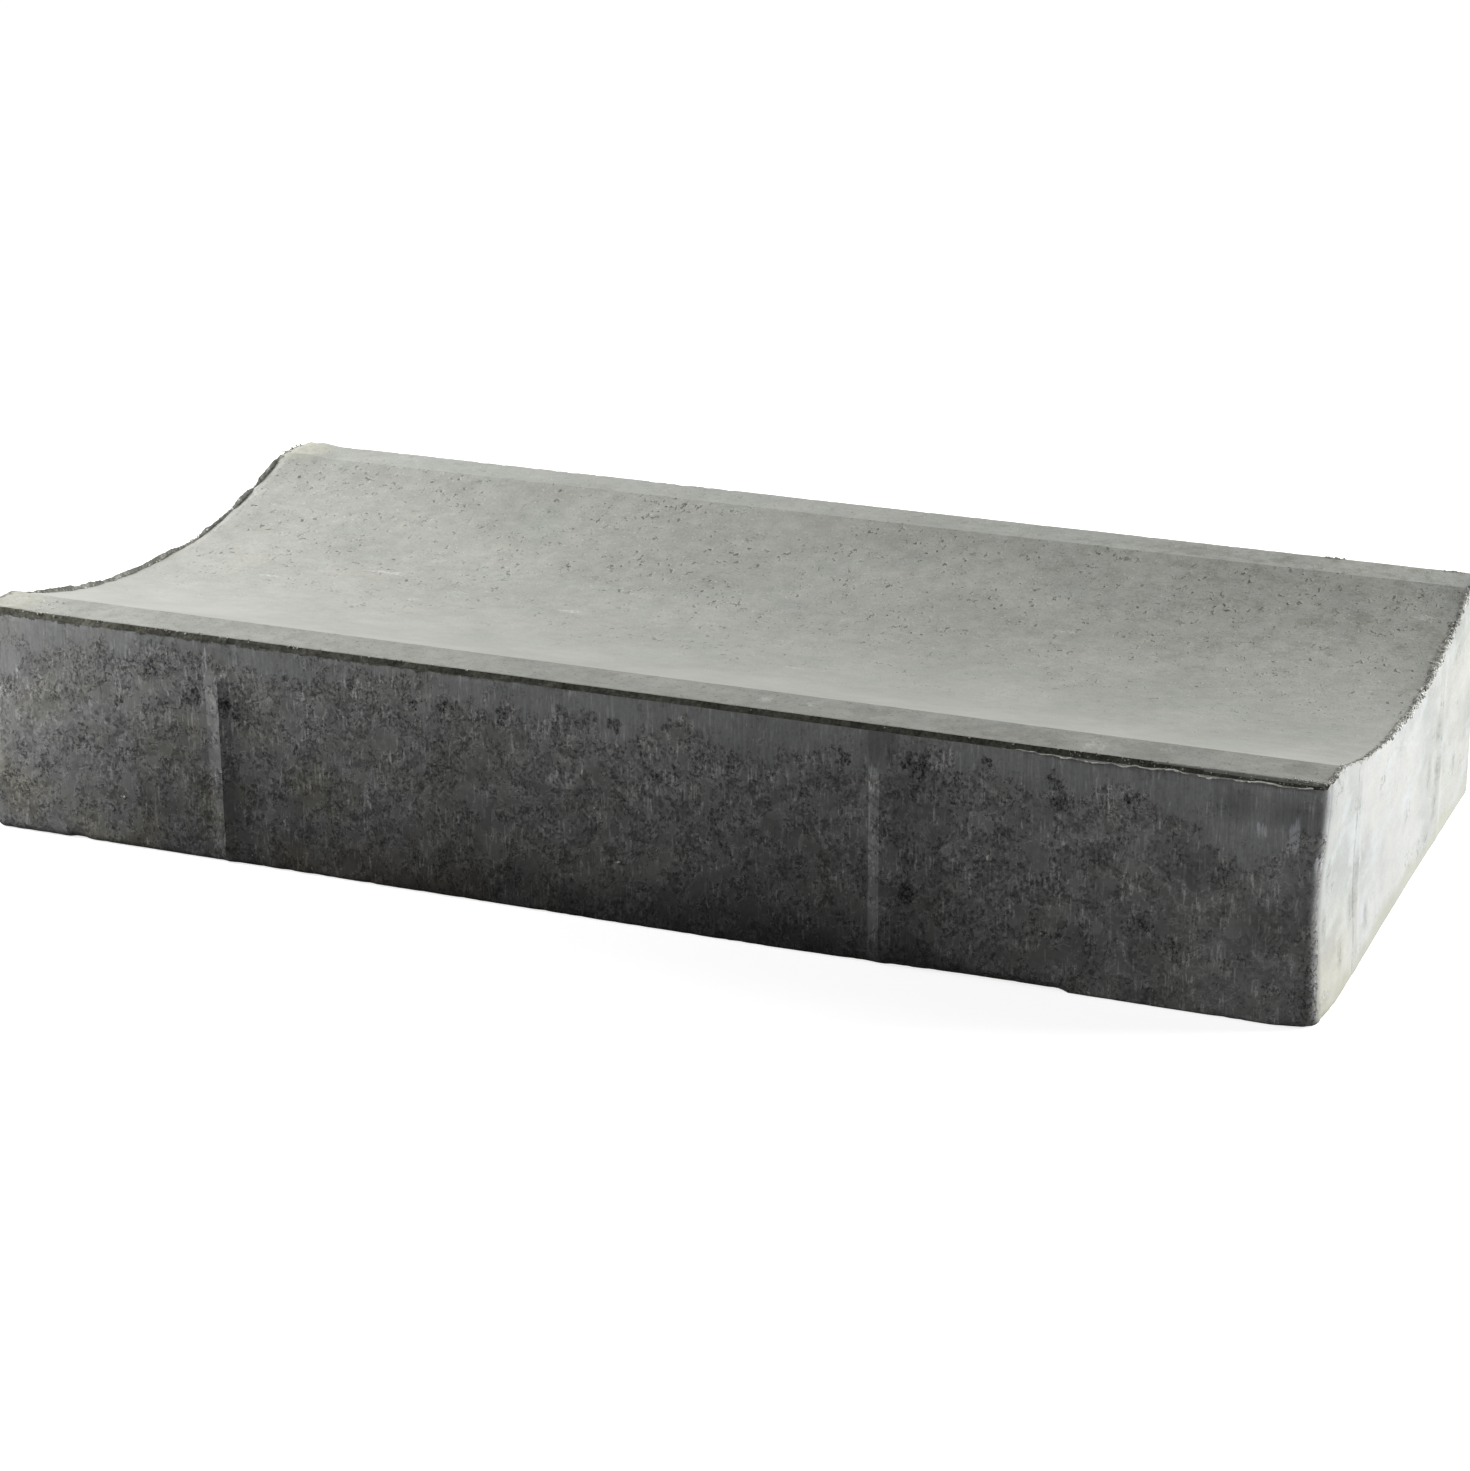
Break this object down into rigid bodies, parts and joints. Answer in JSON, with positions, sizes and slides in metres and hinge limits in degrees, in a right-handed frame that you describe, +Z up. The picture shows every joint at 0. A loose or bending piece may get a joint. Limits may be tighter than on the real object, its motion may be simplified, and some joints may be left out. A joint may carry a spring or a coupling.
{
  "type": "dished concrete channel paver",
  "caption": "Long rectangular concrete paver whose top is hollowed to a shallow round gutter between flat rims, with bevelled rim edges and low upright spacer ribs on its faces.",
  "frame": {"origin": "middle of the flat base, on the ground the paver lies on", "axes": "+X along the channel, +Y across it, +Z up"},
  "size_m": [0.581, 0.284, 0.1],
  "materials": {
    "concrete": "matt grey pressed concrete"
  },
  "bodies": {
    "root": {"channel_paver": "concrete"}
  },
  "joints": []
}
